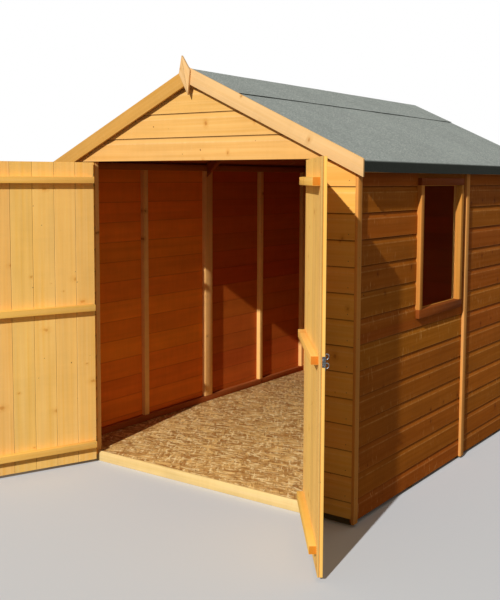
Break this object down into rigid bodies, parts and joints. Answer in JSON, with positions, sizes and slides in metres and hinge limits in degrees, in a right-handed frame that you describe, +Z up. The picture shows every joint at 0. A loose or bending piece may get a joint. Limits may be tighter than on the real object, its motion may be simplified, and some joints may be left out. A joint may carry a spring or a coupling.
{
  "type": "wooden garden shed",
  "caption": "Apex garden shed in horizontal shiplap with a felted roof, a fixed side window, a boarded floor and hinged double doors.",
  "frame": {"origin": "on the ground at the centre of the walls' footprint, under the middle floor bearer", "axes": "+Z up, +X to the right seen from the front, +Y from the doors to the back wall"},
  "size_m": [2.0638, 3.1616, 2.1513],
  "materials": {
    "dipped_timber": "golden brown dip treatment, sawn and planed softwood",
    "plain_timber": "untreated planed softwood",
    "roof_timber": "plain boards",
    "strand_board": "pressed strand board",
    "roof_felt": "green-grey mineral roofing felt",
    "clear_pane": "clear glazing",
    "black_ironwork": "black japanned steel",
    "zinc_plate": "bright zinc plated steel"
  },
  "bodies": {
    "shed": {"back_rails": "dipped_timber", "back_studs": "dipped_timber", "back_wall": "dipped_timber", "corner_strips": "dipped_timber", "cover_strips": "dipped_timber", "door_threshold": "plain_timber", "eaves_battens": "dipped_timber", "felt_left": "roof_felt", "felt_ridge_cap": "roof_felt", "felt_right": "roof_felt", "floor_bearers": "plain_timber", "floor_deck": "strand_board", "front_barge_left": "dipped_timber", "front_barge_right": "dipped_timber", "front_finial": "dipped_timber", "front_gable": "dipped_timber", "front_posts": "dipped_timber", "front_rails": "dipped_timber", "front_wall_left": "dipped_timber", "front_wall_right": "dipped_timber", "hinge_plates": "black_ironwork", "left_wall_front": "dipped_timber", "left_wall_rails": "dipped_timber", "left_wall_rear": "dipped_timber", "left_wall_studs": "dipped_timber", "purlins": "dipped_timber", "rafters_left": "dipped_timber", "rafters_right": "dipped_timber", "rear_barge_left": "dipped_timber", "rear_barge_right": "dipped_timber", "right_wall_below_window": "dipped_timber", "right_wall_beside_window": "dipped_timber", "right_wall_over_window": "dipped_timber", "right_wall_rails": "dipped_timber", "right_wall_rear": "dipped_timber", "right_wall_studs": "dipped_timber", "roof_boards_left": "roof_timber", "roof_boards_right": "roof_timber", "truss_gussets": "dipped_timber", "window_pane": "clear_pane", "window_rails": "dipped_timber", "window_stiles": "dipped_timber"},
    "left_door": {"left_door_boards": "dipped_timber", "left_door_keeper": "zinc_plate", "left_door_ledges": "dipped_timber", "left_door_straps": "black_ironwork"},
    "right_door": {"right_door_boards": "dipped_timber", "right_door_closing_strip": "dipped_timber", "right_door_hasp": "zinc_plate", "right_door_ledges": "dipped_timber", "right_door_straps": "black_ironwork"}
  },
  "joints": [
    {"name": "left_door_hinge", "type": "hinge", "parent": "shed", "child": "left_door", "pos_m": [-0.6795, -1.2517, 0.864], "axis": [0, 0, -1], "range_deg": [-111.5, 38.5]},
    {"name": "right_door_hinge", "type": "hinge", "parent": "shed", "child": "right_door", "pos_m": [0.6795, -1.2517, 0.864], "axis": [0, 0, 1], "range_deg": [-127, 23]}
  ]
}
